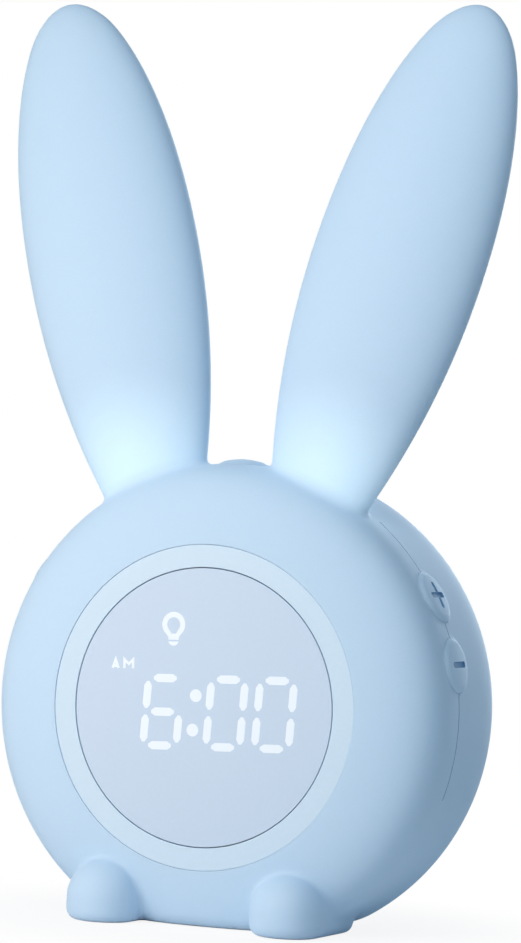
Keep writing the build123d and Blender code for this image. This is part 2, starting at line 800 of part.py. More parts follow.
def across_cell(place, side=1):
    """Plane square to the cell's axis, at a place along it, facing to the given side."""
    origin = CENTRE + Vector(place, -CELL_DEPTH, CELL_HEIGHT)
    return Plane(origin=origin, x_dir=(0, 1, 0), z_dir=(side, 0, 0))


def battery_cell():
    with BuildPart() as cell:
        with BuildSketch(across_cell(-CELL_LENGTH / 2)):
            Circle(CELL_RADIUS)
        extrude(amount=CELL_LENGTH - CELL_PIP)
        fillet(cell.edges().filter_by(GeomType.CIRCLE), 0.8)
        with BuildSketch(across_cell(CELL_LENGTH / 2 - CELL_PIP)):
            Circle(3)
        extrude(amount=CELL_PIP)
    return cell


def battery_holder():
    """Trough on the back of the main board, open to the rear cover."""
    half = CELL_LENGTH / 2 + CONTACT_THICK
    deep = BOARD_BACK - CELL_DEPTH + 1.2
    tall = 2 * (CELL_RADIUS + 0.15 + HOLDER_WALL)
    with BuildPart() as holder:
        with BuildSketch(layer(BOARD_BACK)):
            with Locations((0, CELL_HEIGHT)):
                Rectangle(2 * (half + HOLDER_WALL), tall)
        extrude(amount=-deep)
        with BuildSketch(across_cell(-half)):
            Circle(CELL_RADIUS + 0.15)
        extrude(amount=2 * half, mode=Mode.SUBTRACT)
    return holder


def battery_contacts():
    with BuildPart() as plates:
        for side in (-1, 1):
            with BuildSketch(across_cell(side * CELL_LENGTH / 2, side)):
                Circle(6)
            extrude(amount=CONTACT_THICK)
    return plates


# ---- speaker, rear cover and USB inlet -----------------------------------------------------
COVER_BACK = -HOUSING_REAR - 0.02
COVER_RADIUS = REAR_OPENING - 0.2
GASKET_THICK = 1.0
SPEAKER_RIM = -HOUSING_REAR + GASKET_THICK
GRILLE_HOLE = 0.8
GRILLE_RINGS = ((0, 1), (3.2, 6), (6.4, 12), (9.6, 18))
USB_HALF_WIDTH = 4.5
USB_HALF_HEIGHT = 1.65
USB_LONG = 7.3


def speaker_place(depth):
    """Layer of the body with its origin on the axis of the speaker."""
    return Plane(layer(depth).origin + Vector(0, 0, SPEAKER_HEIGHT), x_dir=(1, 0, 0), z_dir=(0, -1, 0))


def speaker_frame():
    """Pressed basket, rim to the back, with the seat of the magnet in front."""
    with BuildPart() as basket:
        with BuildSketch(speaker_place(SPEAKER_RIM)):
            Circle(SPEAKER_RADIUS)
        extrude(amount=1.2)
        with BuildSketch(speaker_place(SPEAKER_RIM + 1.2)):
            Circle(SPEAKER_RADIUS - 1.5)
        with BuildSketch(speaker_place(SPEAKER_RIM + 7.5)):
            Circle(9)
        loft()
        with BuildSketch(speaker_place(SPEAKER_RIM)):
            Circle(SPEAKER_RADIUS - 2.2)
        with BuildSketch(speaker_place(SPEAKER_RIM + 6.5)):
            Circle(7.5)
        loft(mode=Mode.SUBTRACT)
        with BuildSketch(speaker_place(SPEAKER_RIM)):
            Circle(4.2)
        extrude(amount=9, mode=Mode.SUBTRACT)
    return basket


def speaker_cone():
    """Paper cone with a domed cap, inside the basket."""
    with BuildPart() as cone:
        with BuildSketch(speaker_place(SPEAKER_RIM + 0.3)):
            Circle(SPEAKER_RADIUS - 2.6)
        with BuildSketch(speaker_place(SPEAKER_RIM + 5.2)):
            Circle(5.5)
        loft()
        with BuildSketch(speaker_place(SPEAKER_RIM - 0.3)):
            Circle(SPEAKER_RADIUS - 3.2)
        with BuildSketch(speaker_place(SPEAKER_RIM + 4.4)):
            Circle(5.3)
        loft(mode=Mode.SUBTRACT)
        with BuildSketch(speaker_place(SPEAKER_RIM + 3.4)):
            Circle(4.6)
        extrude(amount=1.4)
    return cone


def speaker_magnet():
    with BuildPart() as magnet:
        with BuildSketch(speaker_place(SPEAKER_RIM + 7.5)):
            Circle(8.5)
        extrude(amount=5.5)
        fillet(magnet.edges().filter_by(GeomType.CIRCLE).group_by(Axis.Y)[0], 0.5)
    return magnet


def speaker_gasket():
    with BuildPart() as gasket:
        with BuildSketch(speaker_place(-HOUSING_REAR)):
            Circle(SPEAKER_RADIUS)
            Circle(SPEAKER_RADIUS - 2, mode=Mode.SUBTRACT)
        extrude(amount=GASKET_THICK)
    return gasket


def usb_outline(grow):
    width = 2 * (USB_HALF_WIDTH + grow)
    height = 2 * (USB_HALF_HEIGHT + grow)
    RectangleRounded(width, height, height / 2 - 0.05)


def rear_cover():
    with BuildPart() as cover:
        with BuildSketch(layer(-COVER_FACE)):
            Circle(COVER_RADIUS)
        extrude(amount=COVER_BACK + COVER_FACE)
        fillet(cover.edges().filter_by(GeomType.CIRCLE).group_by(Axis.Y)[-1], 0.4)
        with BuildSketch(speaker_place(-COVER_FACE)):
            for radius, count in GRILLE_RINGS:
                with PolarLocations(radius, count):
                    Circle(GRILLE_HOLE)
        extrude(amount=5, mode=Mode.SUBTRACT)
        with BuildSketch(layer(-COVER_FACE)):
            with Locations(*cover_spots):
                Circle(COVER_SCREW_SHAFT + 0.2)
            with Locations((0, USB_HEIGHT)):
                usb_outline(0.25)
        extrude(amount=5, mode=Mode.SUBTRACT)
        with BuildSketch(layer(-COVER_FACE)):
            with Locations(*cover_spots):
                Circle(COVER_SCREW_HEAD + 0.3)
        extrude(amount=1.2, mode=Mode.SUBTRACT)
    return cover


def usb_port():
    """Metal shell of the charging inlet with its tongue."""
    with BuildPart() as port:
        with BuildSketch(layer(-COVER_FACE + 0.2)):
            with Locations((0, USB_HEIGHT)):
                usb_outline(0)
        extrude(amount=USB_LONG)
        with BuildSketch(layer(-COVER_FACE + 0.2)):
            with Locations((0, USB_HEIGHT)):
                usb_outline(-0.35)
        extrude(amount=USB_LONG - 1, mode=Mode.SUBTRACT)
        with BuildSketch(layer(-COVER_FACE + 1.2)):
            with Locations((0, USB_HEIGHT)):
                Rectangle(6.6, 0.7)
        extrude(amount=USB_LONG - 1.5)
    return port


def usb_board():
    with BuildPart() as board:
        with BuildSketch(layer(COVER_BACK)):
            with Locations((0, USB_HEIGHT - USB_HALF_HEIGHT - 0.5)):
                Rectangle(18, 1.0)
        extrude(amount=6.5)
    return board


# ---- screws --------------------------------------------------------------------------------
SCREW_SETS = {  # places, depth under the head, radius and height of the head, shaft radius, tip
    "case_screws": (
        case_spots,
        CASE_SCREW_HEAD_DEPTH,
        CASE_SCREW_HEAD,
        1.8,
        CASE_SCREW_SHAFT,
        CASE_SCREW_TIP,
    ),
    "cover_screws": (
        cover_spots,
        1.2 - COVER_FACE,
        COVER_SCREW_HEAD,
        1.1,
        COVER_SCREW_SHAFT,
        5 - HOUSING_REAR,
    ),
    "display_screws": (
        display_spots,
        DISPLAY_BOARD_BACK,
        DISPLAY_SCREW_HEAD,
        1.4,
        DISPLAY_SCREW_SHAFT,
        FLANGE_FRONT + 1.5,
    ),
}


def screws(spots, head_depth, head_radius, head_high, shaft_radius, tip_depth):
    """Pan-head screws driven from the back, with cross recesses."""
    with BuildPart() as set_of_screws:
        with BuildSketch(layer(head_depth)):
            with Locations(*spots):
                Circle(head_radius)
        extrude(amount=-head_high)
        back_edges = set_of_screws.edges().filter_by(GeomType.CIRCLE).group_by(Axis.Y)[-1]
        fillet(back_edges, head_high * 0.4)
        with BuildSketch(layer(head_depth - head_high)):
            with Locations(*spots):
                Rectangle(head_radius * 1.2, head_radius * 0.3)
                Rectangle(head_radius * 0.3, head_radius * 1.2)
        extrude(amount=head_high * 0.55, mode=Mode.SUBTRACT)
        with BuildSketch(layer(head_depth)):
            with Locations(*spots):
                Circle(shaft_radius)
        extrude(amount=tip_depth - head_depth)
    return set_of_screws


# ---- wiring --------------------------------------------------------------------------------
LEAD_RADIUS = 0.7
LED_LEAD_FOOT = 35.0
SOCKET_MOUTH = BOARD_BACK - SOCKET_DEEP
SPEAKER_TAB = (-14.3, SPEAKER_HEIGHT - 5.3)
speaker_x, speaker_z = SOCKET_PLACES["speaker_socket"]
battery_x, battery_z = SOCKET_PLACES["battery_socket"]
usb_x, usb_z = SOCKET_PLACES["usb_socket"]
LEAD_ROUTES = {  # points from the body centre: across, in front of the seam, up
    "speaker_lead": (
        (speaker_x, SOCKET_MOUTH, speaker_z),
        (speaker_x, -17, speaker_z),
        (SPEAKER_TAB[0], -20, SPEAKER_TAB[1]),
        (SPEAKER_TAB[0], SPEAKER_RIM + 1.2, SPEAKER_TAB[1]),
    ),
    "battery_lead": (
        (battery_x, SOCKET_MOUTH, battery_z),
        (battery_x, -14, battery_z),
        (battery_x, -14, CELL_HEIGHT + CELL_RADIUS + 0.15 + HOLDER_WALL),
    ),
    "usb_lead": (
        (usb_x, SOCKET_MOUTH, usb_z),
        (usb_x, -26, usb_z),
        (usb_x, -26, USB_HEIGHT - USB_HALF_HEIGHT - 1.0),
    ),
}


def ear_lead_route(angle):
    across, up = cos(radians(angle)), sin(radians(angle))
    top = (LED_BOARD_UNDER * across, EAR_WINDOW_FORWARD, LED_BOARD_UNDER * up)
    corner = (LED_LEAD_FOOT * across, EAR_WINDOW_FORWARD, LED_LEAD_FOOT * up)
    foot = (LED_LEAD_FOOT * across, BOARD_FRONT, LED_LEAD_FOOT * up)
    return (top, corner, foot)


def bend_radii(route):
    """Largest arcs that leave a straight stretch on every run."""
    radii = []
    for before, corner, after in zip(route, route[1:], route[2:]):
        shorter = min((corner - before).length, (after - corner).length)
        turn = (corner - before).get_angle(after - corner)
        radii.append(0.45 * shorter / tan(radians(turn / 2)))
    return radii


def lead(points):
    """Round two-core lead along straight runs joined by arcs."""
    route = [CENTRE + Vector(across, -front, up) for across, front, up in points]
    radii = bend_radii(route)
    with BuildPart() as wire:
        with BuildLine():
            path = FilletPolyline(*route, radius=radii)
        with BuildSketch(Plane(origin=path @ 0, z_dir=path % 0)):
            Circle(LEAD_RADIUS)
        sweep()
    share = wire.part.volume / (path.length * pi * LEAD_RADIUS**2)
    bends = [round(radius, 1) for radius in radii]
    print("lead", round(path.length, 1), "mm, bends", bends, "volume share", round(share, 3))
    return wire


# ---- the whole clock -----------------------------------------------------------------------


def build():
    os.makedirs("parts", exist_ok=True)
    save(silicone_skin(), "silicone_skin")
    save(front_housing(), "front_housing")
    save(rear_housing(), "rear_housing")

    shapes = window_shapes()
    save(display_ring(), "display_ring")
    save(display_lens(shapes), "display_lens")
    save(lit_windows(shapes), "display_windows")
    save(diffuser_film(), "diffuser_film")
    save(display_gasket(), "display_gasket")
    save(display_reflector(), "display_reflector")
    save(display_board(), "display_board")
    save(display_leds(), "display_leds")

    save(main_board(), "main_board")
    save(board_header(), "board_header")
    for name, (place, size, height) in CHIP_PLACES.items():
        save(quad_chip(place, size, height), name)
    for name, place in SOCKET_PLACES.items():
        save(wire_socket(place), name)
    save(capacitors(), "board_capacitors")

    for side, angle in zip(("right", "left"), EAR_WINDOW_ANGLES):
        save(ear_light_guide(angle), side + "_ear_light_guide")
        save(ear_led_board(angle), side + "_ear_led_board")
        save(ear_leds(angle), side + "_ear_leds")

    for name, (angle, radius, dome, glyph) in BUTTONS.items():
        save(button_cap(angle, radius, dome, glyph), name)
        save(switch_plunger(angle), name.replace("button", "plunger"))
        save(switch_body(angle), name.replace("button", "switch"))

    save(battery_cell(), "battery_cell")
    save(battery_holder(), "battery_holder")
    save(battery_contacts(), "battery_contacts")

    save(speaker_frame(), "speaker_frame")
    save(speaker_cone(), "speaker_cone")
    save(speaker_magnet(), "speaker_magnet")
    save(speaker_gasket(), "speaker_gasket")
    save(rear_cover(), "rear_cover")
    save(usb_port(), "usb_port")
    save(usb_board(), "usb_board")

    for name, sizes in SCREW_SETS.items():
        save(screws(*sizes), name)
    for name, points in LEAD_ROUTES.items():
        save(lead(points), name)
    for side, angle in zip(("right", "left"), EAR_WINDOW_ANGLES):
        save(lead(ear_lead_route(angle)), side + "_ear_lead")


build()
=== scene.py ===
import json
from math import cos, pi, radians, sin

import bpy
import numpy as np
from mathutils import Matrix, Vector


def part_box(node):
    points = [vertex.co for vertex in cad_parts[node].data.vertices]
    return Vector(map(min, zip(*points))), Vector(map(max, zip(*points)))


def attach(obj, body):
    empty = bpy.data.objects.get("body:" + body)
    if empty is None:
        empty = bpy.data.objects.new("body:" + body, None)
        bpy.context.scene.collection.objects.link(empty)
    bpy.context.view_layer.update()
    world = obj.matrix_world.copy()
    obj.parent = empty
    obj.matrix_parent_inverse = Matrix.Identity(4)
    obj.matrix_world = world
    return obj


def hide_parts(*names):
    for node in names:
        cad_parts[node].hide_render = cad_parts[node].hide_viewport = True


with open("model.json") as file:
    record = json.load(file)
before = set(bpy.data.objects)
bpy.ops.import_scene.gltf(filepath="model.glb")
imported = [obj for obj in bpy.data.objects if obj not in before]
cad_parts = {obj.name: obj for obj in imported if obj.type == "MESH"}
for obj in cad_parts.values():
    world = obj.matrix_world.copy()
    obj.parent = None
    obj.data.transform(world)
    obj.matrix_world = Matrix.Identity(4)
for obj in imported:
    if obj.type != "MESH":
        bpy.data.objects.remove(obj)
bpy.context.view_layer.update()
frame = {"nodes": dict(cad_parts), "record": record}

MM = 0.001

# ---- the form of the sleeve, in millimetres from the body centre, angles in degrees --------
BODY_RADIUS = 51.6
FRONT_DEPTH, FRONT_POWER = 18.3, 4.2  # from the widest plane, and how square the edge is
REAR_DEPTH, REAR_POWER = 34.0, 5.0
SKIN = 2.0

EAR_ROOT = (20.75, -4.4, 52.0)
EAR_LEAN = 15.8  # outwards
EAR_BACK_LEAN = 3.6
EAR_TOE = 3.0  # its flat side turned about its own length
EAR_HALF_WIDTHS = (  # height along the ear and its half width there
    (0, 13.5), (16, 17.1), (32, 19.1), (48, 19.55),
    (64, 18.5), (80, 15.5), (92, 11.2), (98, 7.4),
)
EAR_LENGTH = 102.0
EAR_SUNK = 14.0  # into the body
EAR_NECK = 4.2  # how much narrower the ear is at its sunk end
EAR_NECK_SLOPE = (0.29, 0.96)  # the way its profile sets out there
EAR_FLATNESS = 0.45  # its depth to its width

FOOT_SPOT = (21.1, -8.2)  # to the side, and to the back
FOOT_HALF_WIDTH = 8.0
FOOT_STRAIGHT = 7.75  # half the straight part of its sides
FOOT_TOP = 13.0  # above the floor

EAR_BLEND = 1.8  # width over which two forms run into each other
FOOT_BLEND = 1.5
SOLE_BLEND = 2.9
BUTTON_BLEND = 0.9

FRONT_OPENING = 34.32  # radius
REAR_OPENING = 33.0
OPENING_LIP = 0.1  # rounding of their edges
FACE_MARGIN = 0.15  # from the face of the ring or the cover out to the edge of its opening
SEAM_ARCS = ((-19.0, 52.0), (128.0, 199.0))  # where each parting line starts and ends
SEAM_WIDTH = 0.4
SEAM_DEEP = 0.3

BUTTON_LINE = 1.5  # buttons and parting line, in front of the widest plane
BUTTONS = {  # angle round the body, radius, height of the middle, share of it that is dome
    "plus": (29.8, 5.9, 1.05, 0.45),
    "minus": (13.0, 5.9, 1.05, 0.45),
    "light": (90.0, 5.2, 1.0, 0.85),
    "alarm": (149.5, 5.9, 1.15, 0.45),
    "mode": (166.5, 5.9, 1.05, 0.45),
}
BUTTON_PLAY = 0.08
HEAD_INSET = 0.2  # the head's side is this far inside the gap round the button
HEAD_CHAMFER = (0.5, 0.1)  # across and down, of the raw head
HEAD_ROUND = 1.3  # radius of its edge, or less on a lower head
HEAD_FALL = 2  # its dome falls on outside its edge, to this many times its height
HEAD_BASE = BODY_RADIUS - 1.5
STEM_RADIUS = 1.6
STEM_TOP = HEAD_BASE + 0.3
STEM_FLANGE = 2.6
STEM_FLANGE_TOP = BODY_RADIUS - 4.15
STEM_END = BODY_RADIUS - 4.95

SIGN_DEEP = 0.6
SIGN_BAR = (6.8, 1.3)  # length and width
PLUS_UPRIGHT = (6.2, 1.3)
ALARM_RING = (1.8, 3.1)  # inner and outer radius
MODE_DOT = 2.6
SIGN_EDGE = 1.0  # every sign stays this far inside the edge of its button

# ---- how finely and how far the forms are worked out ---------------------------------------
VOXEL = 0.6
EVEN_ROUNDS = 3
SETTLE_ROUNDS = 3
SETTLE_PROBE = 0.02  # how far off the slope of the distance is taken
SETTLE_REACH = 1.5  # the furthest that a point moves in one round
LEAST_STEEPNESS = 0.2
FLAT_MIDDLE, FLAT_FALL = 1.4, 1.6  # how far an ear's flatness counts along it
EARS_ABOVE = 30.0  # the ears are felt from this far above the body centre
FEET_BELOW = 20.0  # the feet from this far below it
BUTTON_REACH = 4.0  # and a button at this distance
SUNK_SIGN = 0.06  # the faces of a sign are at least this far under the surface
SUNK_SEAM = 0.03  # and those of the parting line this far
SLACK = 0.02
SHARP_ANGLE = 40.0
BODY_STEPS, BODY_SEGMENTS = 60, 160
EAR_STEPS = 14
FOOT_STEPS = 16
LIP_STEPS = 7
CUTTER_SEGMENTS = 128
STEM_SEGMENTS = 48
SEAM_STEP = 0.8
SIGN_STEPS, SIGN_SEGMENTS = 9, 64

# Where cutters start and end, well clear of what they cut.
PLUG_START = 5.0
PLUG_CLEAR = 6.0
HOLE_CLEAR = 4.0
HEAD_CLEAR = 5.0
SIGN_CLEAR = 3.0
SEAM_CLEAR = 0.6

# ---- places taken from the frame -----------------------------------------------------------
ring_low, ring_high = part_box("display_ring")
button_low, button_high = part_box("light_button")
button_middle = (button_low + button_high) / 2 / MM
BUTTON_CENTRE = Vector((0, button_middle.y, (ring_low.z + ring_high.z) / 2 / MM))
CENTRE = BUTTON_CENTRE + Vector((0, BUTTON_LINE, 0))
RING_FACE = CENTRE.y - ring_low.y / MM
COVER_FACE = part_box("rear_cover")[1].y / MM - CENTRE.y


# ---- mesh helpers --------------------------------------------------------------------------
def spline(points, start, end, count):
    """Points of a cubic spline through points, with the given end slopes."""
    points = np.array(points, float)
    steps = np.linalg.norm(np.diff(points, axis=0), axis=1)[:, None]
    last = len(points) - 1
    matrix = np.zeros((last + 1, last + 1))
    right = np.zeros_like(points)
    matrix[0, 0] = matrix[last, last] = 1
    right[0], right[last] = start, end
    for i in range(1, last):
        before, after = steps[i - 1, 0], steps[i, 0]
        matrix[i, i - 1 : i + 2] = 1 / before, 2 / before + 2 / after, 1 / after
        rise_before, rise_after = points[i] - points[i - 1], points[i + 1] - points[i]
        right[i] = 3 * rise_before / before**2 + 3 * rise_after / after**2
    slopes = np.linalg.solve(matrix, right)
    curve = [points[:1]]
    for i in range(last):
        t = np.linspace(0, 1, count + 1)[1:, None]
        step = steps[i, 0]
        curve.append(
            (2 * t**3 - 3 * t**2 + 1) * points[i]
            + (t**3 - 2 * t**2 + t) * step * slopes[i]
            + (3 * t**2 - 2 * t**3) * points[i + 1]
            + (t**3 - t**2) * step * slopes[i + 1]
        )
    return np.concatenate(curve)


def new_object(name, vertices, faces):
    """A mesh object from vertices in millimetres."""
    mesh = bpy.data.meshes.new(name)
    mesh.from_pydata((np.array(vertices) * MM).tolist(), [], faces)
    mesh.validate()
    thing = bpy.data.objects.new(name, mesh)
    bpy.context.scene.collection.objects.link(thing)
    return thing


def revolved(profile, segments=96):
    """Vertices and faces of (radius, height) turned about Z; both its ends are on the axis."""
    turns = np.linspace(0, 2 * pi, segments, endpoint=False)
    inner = np.array(profile[1:-1], float)
    rings = [
        np.stack([r * np.cos(turns), r * np.sin(turns), np.full(segments, h)], 1) for r, h in inner
    ]
    vertices = np.concatenate([[[0, 0, profile[0][1]]], *rings, [[0, 0, profile[-1][1]]]])
    top = len(vertices) - 1
    faces = []
    for j in range(segments):
        k = (j + 1) % segments
        faces.append((0, 1 + k, 1 + j))
        for i in range(len(inner) - 1):
            a, b = 1 + i * segments, 1 + (i + 1) * segments
            faces.append((a + j, a + k, b + k, b + j))
        a = 1 + (len(inner) - 1) * segments
        faces.append((a + j, a + k, top))
    return vertices, faces


def placed(vertices, matrix):
    """The vertices moved by a matrix."""
    matrix = np.array(matrix)
    return vertices @ matrix[:3, :3].T + matrix[:3, 3]


def joined(shapes):
    """Vertices and faces of several shapes as one list."""
    vertices, faces = [], []
    for points, polygons in shapes:
        start = sum(len(v) for v in vertices)
        vertices.append(points)
        faces += [tuple(i + start for i in polygon) for polygon in polygons]
    return np.concatenate(vertices), faces


def apply_modifiers(thing):
    graph = bpy.context.evaluated_depsgraph_get()
    mesh = bpy.data.meshes.new_from_object(thing.evaluated_get(graph))
    thing.modifiers.clear()
    thing.data = mesh


def combine(thing, other, operation):
    """Join, cut or intersect a closed mesh with another, which is used up."""
    step = thing.modifiers.new("combine", "BOOLEAN")
    step.operation = operation
    step.solver = "MANIFOLD"
    step.object = other
    apply_modifiers(thing)
    bpy.data.objects.remove(other)


def cut(thing, cutter):
    combine(thing, cutter, "DIFFERENCE")


def smooth_shading(thing):
    thing.data.shade_smooth()
    thing.data.set_sharp_from_angle(angle=radians(SHARP_ANGLE))


# ---- the forms of the sleeve ---------------------------------------------------------------
def pebble(inset=0):
    """The round body about Y, drawn in by inset and flat on the floor."""
    turns = np.linspace(0, pi / 2, BODY_STEPS)
    radius = BODY_RADIUS - inset
    front = np.stack([
        radius * np.cos(turns) ** (2 / FRONT_POWER),
        -(FRONT_DEPTH - inset) * np.sin(turns) ** (2 / FRONT_POWER),
    ], 1)[::-1]
    rear = np.stack([
        radius * np.cos(turns) ** (2 / REAR_POWER),
        (REAR_DEPTH - inset) * np.sin(turns) ** (2 / REAR_POWER),
    ], 1)[1:]
    profile = np.concatenate([front, rear])
    profile[0, 0] = profile[-1, 0] = 0
    vertices, faces = revolved(profile, BODY_SEGMENTS)
    to_back = Matrix.Translation(CENTRE) @ Matrix.Rotation(radians(-90), 4, "X")
    vertices = placed(vertices, to_back)
    vertices[:, 2] = np.maximum(vertices[:, 2], inset)
    return vertices, faces


def ear_profile(wall=0):
    """Half width and height along the ear, drawn in by wall."""
    root_half = EAR_HALF_WIDTHS[0][1]
    points = [(root_half - EAR_NECK - wall, -EAR_SUNK)]
    points += [(width - wall, height) for height, width in EAR_HALF_WIDTHS]
    points += [(0, EAR_LENGTH - wall)]
    return spline(points, EAR_NECK_SLOPE, (-1, 0), EAR_STEPS)


def ear_matrix(side):
    """Local Z runs up the ear from its root, local Y through its flat side."""
    x, y, z = EAR_ROOT
    root = Matrix.Translation(CENTRE + Vector((side * x, y, z)))
    back = Matrix.Rotation(radians(-EAR_BACK_LEAN), 4, "X")
    lean = Matrix.Rotation(radians(side * EAR_LEAN), 4, "Y")
    toe = Matrix.Rotation(radians(-side * EAR_TOE), 4, "Z")
    return root @ back @ lean @ toe


def ear(side, wall=0):
    profile = ear_profile(wall)
    profile = np.concatenate([[(0, -EAR_SUNK)], profile])
    vertices, faces = revolved(profile)
    widest = max(width for _, width in EAR_HALF_WIDTHS)
    vertices[:, 1] *= (EAR_FLATNESS * widest - wall) / (widest - wall)
    return placed(vertices, ear_matrix(side)), faces


def foot(side):
    """A rounded bar on the floor, its length front to back."""
    turns = np.linspace(0, pi / 2, FOOT_STEPS)
    rise = FOOT_TOP - FOOT_HALF_WIDTH
    dome = [(FOOT_HALF_WIDTH * cos(t), rise + FOOT_HALF_WIDTH * sin(t)) for t in turns[:-1]]
    profile = [(0, 0), (FOOT_HALF_WIDTH, 0), (FOOT_HALF_WIDTH, rise / 2), *dome, (0, FOOT_TOP)]
    vertices, faces = revolved(profile)
    vertices[:, 1] += np.sign(np.round(vertices[:, 1], 6)) * FOOT_STRAIGHT
    x, y = FOOT_SPOT
    return vertices + [side * x, CENTRE.y + y, 0], faces


def spoke_matrix(angle):
    """Local Z points outwards from the middle of the buttons, local X to the back."""
    out = Vector((cos(radians(angle)), 0, sin(radians(angle))))
    across = Vector((0, 1, 0))
    turn = Matrix((across, out.cross(across), out)).transposed().to_4x4()
    return Matrix.Translation(BUTTON_CENTRE) @ turn


def button_bump(key):
    """The domed head of a button, sunk into the body."""
    angle, radius, height, share = BUTTONS[key]
    radius -= HEAD_INSET
    top = BODY_RADIUS + height
    rim = top - share * height
    across, down = HEAD_CHAMFER
    side = [(radius, HEAD_BASE), (radius, rim - down), (radius - across, rim)]
    vertices, faces = revolved([(0, HEAD_BASE), *side, (0, top)])
    return placed(vertices, spoke_matrix(angle)), faces


# ---- distances to those forms, for soft creases --------------------------------------------
def body_distance(points):
    x, y, z = (points - np.array(CENTRE)).T
    radial = np.hypot(x, z) / BODY_RADIUS
    depth = np.where(y < 0, FRONT_DEPTH, REAR_DEPTH)
    power = np.where(y < 0, FRONT_POWER, REAR_POWER)
    along = np.abs(y) / depth
    size = (radial**power + along**power) ** (1 / power)
    outwards = (radial / size) ** (power - 1) / BODY_RADIUS
    backwards = (along / size) ** (power - 1) / depth
    return (size - 1) / np.hypot(outwards, backwards)


def ear_distance(points, side):
    """Distance to one ear, found in the plane of its profile."""
    x, y, z = placed(points, ear_matrix(side).inverted()).T
    radial = np.hypot(x, y / EAR_FLATNESS)
    squeeze = np.hypot(x, y / EAR_FLATNESS**2) / np.maximum(radial, 1e-6)
    curve = ear_profile()
    starts, steps = curve[:-1], np.diff(curve, axis=0)
    lengths = (steps**2).sum(1)
    best = np.full(len(points), np.inf)
    inside = np.ones(len(points))
    for start, step, length in zip(starts, steps, lengths):
        across, up = radial - start[0], z - start[1]
        share = np.clip((across * step[0] + up * step[1]) / length, 0, 1)
        gap = np.hypot(across - share * step[0], up - share * step[1])
        nearer = gap < best
        best = np.where(nearer, gap, best)
        inside = np.where(nearer, np.sign(across * step[1] - up * step[0]), inside)
    # The flat sides count in full along the middle of the ear, and less towards its ends.
    from_middle = np.abs(z - EAR_LENGTH / 2) / EAR_LENGTH
    flat = np.clip(FLAT_MIDDLE - FLAT_FALL * from_middle, 0, 1)
    return inside * best / (1 + (squeeze - 1) * flat)


def foot_distance(points, side):
    middle = [side * FOOT_SPOT[0], CENTRE.y + FOOT_SPOT[1], FOOT_TOP - FOOT_HALF_WIDTH]
    x, y, z = (points - middle).T
    along = np.maximum(np.abs(y) - FOOT_STRAIGHT, 0)
    return np.sqrt(x**2 + along**2 + np.maximum(z, 0) ** 2) - FOOT_HALF_WIDTH


def bump_distance(points, key):
    """Distance to a button's head, a domed cylinder with a rounded edge."""
    angle, radius, height, share = BUTTONS[key]
    x, y, z = placed(points, spoke_matrix(angle).inverted()).T
    out = np.hypot(x, y)
    radius -= HEAD_INSET
    top = BODY_RADIUS + height - share * height * np.minimum((out / radius) ** 2, HEAD_FALL)
    edge = min(HEAD_ROUND, height)
    side, above = out - radius + edge, z - top + edge
    outside = np.hypot(np.maximum(side, 0), np.maximum(above, 0))
    gap = outside + np.minimum(np.maximum(side, above), 0) - edge
    return np.where(z > 0, gap, BODY_RADIUS)


def soft_union(a, b, width):
    """The smaller of two distances, run into each other where they are near equal."""
    mix = np.clip(0.5 + 0.5 * (b - a) / width, 0, 1)
    return b + (a - b) * mix - width * mix * (1 - mix)


def sleeve_distance(points):
    """Distance to the outside of sleeve and buttons, negative inside."""
    shape = body_distance(points)
    high = points[:, 2] > CENTRE.z + EARS_ABOVE
    low = points[:, 2] < CENTRE.z - FEET_BELOW
    for side in (-1, 1):
        shape[high] = soft_union(shape[high], ear_distance(points[high], side), EAR_BLEND)
        shape[low] = soft_union(shape[low], foot_distance(points[low], side), FOOT_BLEND)
    for key in BUTTONS:
        bump = bump_distance(points, key)
        near = bump < BUTTON_REACH
        shape[near] = soft_union(shape[near], bump[near], BUTTON_BLEND)
    return -soft_union(-shape, points[:, 2], SOLE_BLEND)


def settle(points):
    """Move points onto the sleeve, along the steepest way."""
    for _ in range(SETTLE_ROUNDS):
        here = sleeve_distance(points)
        ahead = [sleeve_distance(points + SETTLE_PROBE * np.eye(3)[i]) for i in range(3)]
        slope = np.stack([there - here for there in ahead], 1) / SETTLE_PROBE
        steep = np.maximum((slope**2).sum(1), LEAST_STEEPNESS)
        move = np.clip(here / steep, -SETTLE_REACH, SETTLE_REACH)
        points = points - move[:, None] * slope
    return points


# ---- the sleeve and the button caps --------------------------------------------------------
def plug(radius, surface, axis_matrix):
    """A cutter for a round opening with a slightly rounded edge at surface."""
    lip, stop = OPENING_LIP, surface + PLUG_CLEAR
    turns = np.linspace(0, pi / 2, LIP_STEPS)
    arc = [(radius + lip - lip * cos(t), surface - lip + lip * sin(t)) for t in turns]
    profile = [(0, PLUG_START), (radius, PLUG_START), *arc, (radius + lip, stop), (0, stop)]
    vertices, faces = revolved(profile, CUTTER_SEGMENTS)
    return new_object("plug", placed(vertices, axis_matrix), faces)


def rod(radius, start, stop, axis_matrix):
    profile = [(0, start), (radius, start), (radius, stop), (0, stop)]
    vertices, faces = revolved(profile, CUTTER_SEGMENTS)
    return new_object("rod", placed(vertices, axis_matrix), faces)


